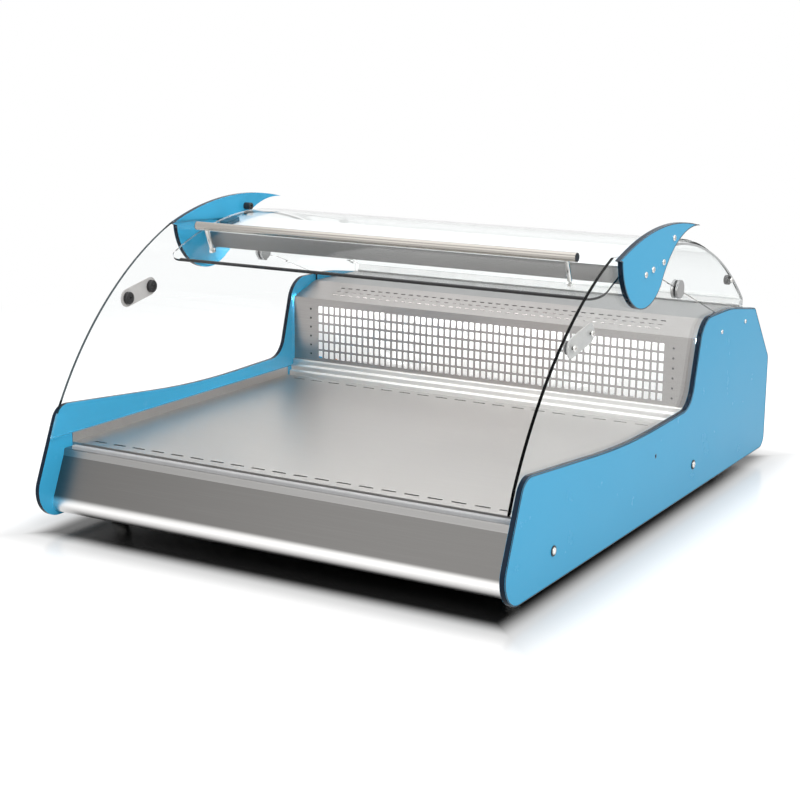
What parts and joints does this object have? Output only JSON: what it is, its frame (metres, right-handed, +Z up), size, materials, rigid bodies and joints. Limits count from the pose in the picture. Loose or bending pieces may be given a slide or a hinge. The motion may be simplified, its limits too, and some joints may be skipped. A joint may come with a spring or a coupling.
{
  "type": "fish display case",
  "caption": "Counter-top chilled display case with shaped side panels, clear side panes, a curved roll cover with a tube handle, a lamp canopy and a perforated back grille.",
  "frame": {"origin": "on the floor under the middle of the case", "axes": "+X to the customer's right, +Y from the customer's side to the server's side, +Z up"},
  "size_m": [1.006, 1.294, 0.591],
  "materials": {
    "blue_board": "smooth sky blue board with a dark core",
    "side_glass": "clear flat glass",
    "clear_sheet": "clear curved sheet",
    "stainless": "fine brushed stainless sheet",
    "polished_steel": "polished steel",
    "lamp_aluminium": "satin grey",
    "black_plastic": "plain black nylon",
    "white_plastic": "opal white",
    "rubber": "plain black rubber",
    "silicone": "pale grey silicone",
    "foam": "rigid foam",
    "dark_metal": "black painted casing",
    "fin_aluminium": "thin bare fins",
    "copper": "bare copper tube",
    "dark_lens": "smoked lens"
  },
  "bodies": {
    "case": {"right_side_panel": "blue_board", "left_side_panel": "blue_board", "right_front_pane": "side_glass", "left_front_pane": "side_glass", "right_rear_pane": "side_glass", "left_rear_pane": "side_glass", "seam_clamps": "lamp_aluminium", "right_fin": "blue_board", "left_fin": "blue_board", "casing_screws": "polished_steel", "glazing_screws": "polished_steel", "guide_brackets": "lamp_aluminium", "guide_discs": "black_plastic", "lamp_canopy": "lamp_aluminium", "canopy_end_plates": "lamp_aluminium", "lamp_diffuser": "white_plastic", "lamp_board": "white_plastic", "cover_glides": "black_plastic", "front_apron": "stainless", "lip_seal": "silicone", "base_pan": "stainless", "foot_pads": "rubber", "foot_studs": "polished_steel", "base_insulation": "foam", "well_tub": "stainless", "drain_spigot": "black_plastic", "display_deck": "stainless", "rear_ledge": "stainless", "back_grille": "stainless", "duct_top": "stainless", "duct_light_strip": "white_plastic", "fan_plate": "white_plastic", "fan_frames": "white_plastic", "evaporator_fins": "fin_aluminium", "condenser_fins": "fin_aluminium", "refrigerant_circuit": "copper", "bulkhead": "foam", "compressor": "dark_metal", "compressor_mounts": "rubber", "condenser_fan_frame": "black_plastic", "top_cover": "stainless", "control_panel": "stainless", "rear_stop_rail": "white_plastic", "rear_panel": "stainless", "controller_housing": "black_plastic", "controller_lens": "dark_lens", "switch_housing": "black_plastic", "mains_inlet": "black_plastic"},
    "roll_cover": {"cover_sheet": "clear_sheet", "handle_tube": "polished_steel", "handle_caps": "black_plastic", "handle_posts": "polished_steel", "post_nuts": "polished_steel"},
    "left_fan": {"left_fan_rotor": "white_plastic"},
    "right_fan": {"right_fan_rotor": "white_plastic"},
    "condenser_fan": {"condenser_rotor": "black_plastic"},
    "rocker": {"switch_rocker": "black_plastic"},
    "up_key": {"up_button": "white_plastic"},
    "down_key": {"down_button": "white_plastic"}
  },
  "joints": [
    {"name": "cover_roll", "type": "hinge", "parent": "case", "child": "roll_cover", "pos_m": [0, 0.045, -0.115], "axis": [1, 0, 0], "range_deg": [0, 39]},
    {"name": "left_fan_spin", "type": "hinge", "parent": "case", "child": "left_fan", "pos_m": [-0.22, 0.2495, 0.26745], "axis": [0, 1, 0], "continuous": true},
    {"name": "right_fan_spin", "type": "hinge", "parent": "case", "child": "right_fan", "pos_m": [0.22, 0.2495, 0.26745], "axis": [0, 1, 0], "continuous": true},
    {"name": "condenser_fan_spin", "type": "hinge", "parent": "case", "child": "condenser_fan", "pos_m": [0.23, 0.543, 0.127], "axis": [0, 1, 0], "continuous": true},
    {"name": "power_rocker", "type": "hinge", "parent": "case", "child": "rocker", "pos_m": [-0.15, 0.55951, 0.29734], "axis": [1, 0, 0], "range_deg": [0, 16]},
    {"name": "up_press", "type": "slide", "parent": "case", "child": "up_key", "axis": [0, -0.6712, -0.7413], "range_m": [0, 0.0015], "stiffness_N_per_m": 150},
    {"name": "down_press", "type": "slide", "parent": "case", "child": "down_key", "axis": [0, -0.6712, -0.7413], "range_m": [0, 0.0015], "stiffness_N_per_m": 150}
  ]
}
